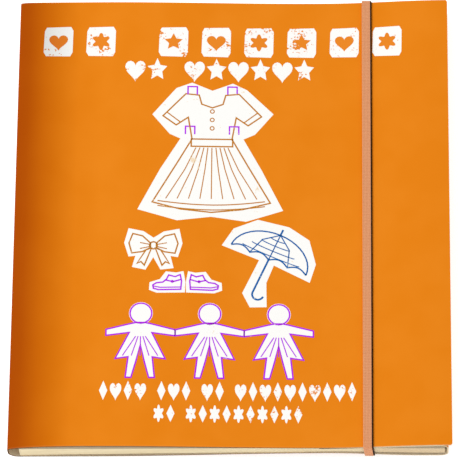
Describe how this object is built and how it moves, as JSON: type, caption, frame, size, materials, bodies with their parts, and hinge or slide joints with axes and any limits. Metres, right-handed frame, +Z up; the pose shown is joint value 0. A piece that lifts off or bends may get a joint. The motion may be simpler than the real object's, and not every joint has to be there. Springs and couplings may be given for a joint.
{
  "type": "paper doll kit",
  "caption": "Paper doll kit: a card wallet with creased spine and inner flap, closed by an elastic band, holding loose sheets and a standing card doll with paper clothes.",
  "frame": {"origin": "middle of the closed kit, on the table it lies on", "axes": "+X from the spine to the fore edge, +Y from the open lower edge to the top of the cover, +Z up out of the front cover"},
  "size_m": [0.214, 0.24, 0.014],
  "materials": {
    "printed_card": "matte printed card",
    "sheet_paper": "uncoated cream paper",
    "elastic": "woven elastic",
    "doll_card": "matte card",
    "dress_paper": "uncoated paper",
    "hat_paper": "uncoated paper"
  },
  "bodies": {
    "back": {"back_cover": "printed_card"},
    "spine": {"spine_strip": "printed_card"},
    "front": {"front_cover": "printed_card"},
    "fore_edge": {"fore_edge_strip": "printed_card"},
    "flap": {"inner_flap": "printed_card"},
    "band": {"elastic_band": "elastic"},
    "sheet_01": {"leaf_01": "sheet_paper"},
    "sheet_02": {"leaf_02": "sheet_paper"},
    "sheet_03": {"leaf_03": "sheet_paper"},
    "sheet_04": {"leaf_04": "sheet_paper"},
    "sheet_05": {"leaf_05": "sheet_paper"},
    "sheet_06": {"leaf_06": "sheet_paper"},
    "sheet_07": {"leaf_07": "sheet_paper"},
    "sheet_08": {"leaf_08": "sheet_paper"},
    "sheet_09": {"leaf_09": "sheet_paper"},
    "sheet_10": {"leaf_10": "sheet_paper"},
    "sheet_11": {"leaf_11": "sheet_paper"},
    "sheet_12": {"leaf_12": "sheet_paper"},
    "sheet_13": {"leaf_13": "sheet_paper"},
    "sheet_14": {"leaf_14": "sheet_paper", "doll_base": "doll_card"},
    "doll": {"doll_figure": "doll_card", "paper_dress": "dress_paper", "paper_hat": "hat_paper"}
  },
  "joints": [
    {"name": "spine_hinge", "type": "hinge", "parent": "back", "child": "spine", "pos_m": [-0.10665, 0, 0.00545], "axis": [0, -1, 0], "range_deg": [0, 90]},
    {"name": "cover_hinge", "type": "hinge", "parent": "spine", "child": "front", "pos_m": [-0.10665, 0, 0.00856], "axis": [0, -1, 0], "range_deg": [0, 90]},
    {"name": "fore_edge_hinge", "type": "hinge", "parent": "back", "child": "fore_edge", "pos_m": [0.10485, 0, 0.00405], "axis": [0, 1, 0], "range_deg": [0, 90]},
    {"name": "flap_hinge", "type": "hinge", "parent": "fore_edge", "child": "flap", "pos_m": [0.10485, 0, 0.00914], "axis": [0, 1, 0], "range_deg": [0, 90]},
    {"name": "doll_hinge", "type": "hinge", "parent": "sheet_14", "child": "doll", "pos_m": [-0.0194, -0.0665, 0.00945], "axis": [1, 0, 0.0024], "range_deg": [0, 90]},
    {"name": "band_slide", "type": "slide", "parent": "back", "child": "band", "axis": [1, 0, 0], "range_m": [0, 0.11], "deforming": ["elastic_band"]},
    {"name": "sheet_01_slide", "type": "slide", "parent": "back", "child": "sheet_01", "axis": [0, -1, 0], "range_m": [0, 0.24]},
    {"name": "sheet_02_slide", "type": "slide", "parent": "back", "child": "sheet_02", "axis": [0, -1, 0], "range_m": [0, 0.24]},
    {"name": "sheet_03_slide", "type": "slide", "parent": "back", "child": "sheet_03", "axis": [0, -1, 0], "range_m": [0, 0.24]},
    {"name": "sheet_04_slide", "type": "slide", "parent": "back", "child": "sheet_04", "axis": [0, -1, 0], "range_m": [0, 0.24]},
    {"name": "sheet_05_slide", "type": "slide", "parent": "back", "child": "sheet_05", "axis": [0, -1, 0], "range_m": [0, 0.24]},
    {"name": "sheet_06_slide", "type": "slide", "parent": "back", "child": "sheet_06", "axis": [0, -1, 0], "range_m": [0, 0.24]},
    {"name": "sheet_07_slide", "type": "slide", "parent": "back", "child": "sheet_07", "axis": [0, -1, 0], "range_m": [0, 0.24]},
    {"name": "sheet_08_slide", "type": "slide", "parent": "back", "child": "sheet_08", "axis": [0, -1, 0], "range_m": [0, 0.24]},
    {"name": "sheet_09_slide", "type": "slide", "parent": "back", "child": "sheet_09", "axis": [0, -1, 0], "range_m": [0, 0.24]},
    {"name": "sheet_10_slide", "type": "slide", "parent": "back", "child": "sheet_10", "axis": [0, -1, 0], "range_m": [0, 0.24]},
    {"name": "sheet_11_slide", "type": "slide", "parent": "back", "child": "sheet_11", "axis": [0, -1, 0], "range_m": [0, 0.24]},
    {"name": "sheet_12_slide", "type": "slide", "parent": "back", "child": "sheet_12", "axis": [0, -1, 0], "range_m": [0, 0.24]},
    {"name": "sheet_13_slide", "type": "slide", "parent": "back", "child": "sheet_13", "axis": [0, -1, 0], "range_m": [0, 0.24]},
    {"name": "sheet_14_slide", "type": "slide", "parent": "back", "child": "sheet_14", "axis": [0, -1, 0], "range_m": [0, 0.24]}
  ],
  "couplings": [
    {"joint": "cover_hinge", "follows": "spine_hinge", "ratio": 1},
    {"joint": "fore_edge_hinge", "follows": "spine_hinge", "ratio": 1},
    {"joint": "flap_hinge", "follows": "spine_hinge", "ratio": 1},
    {"joint": "doll_hinge", "follows": "spine_hinge", "ratio": 1}
  ]
}
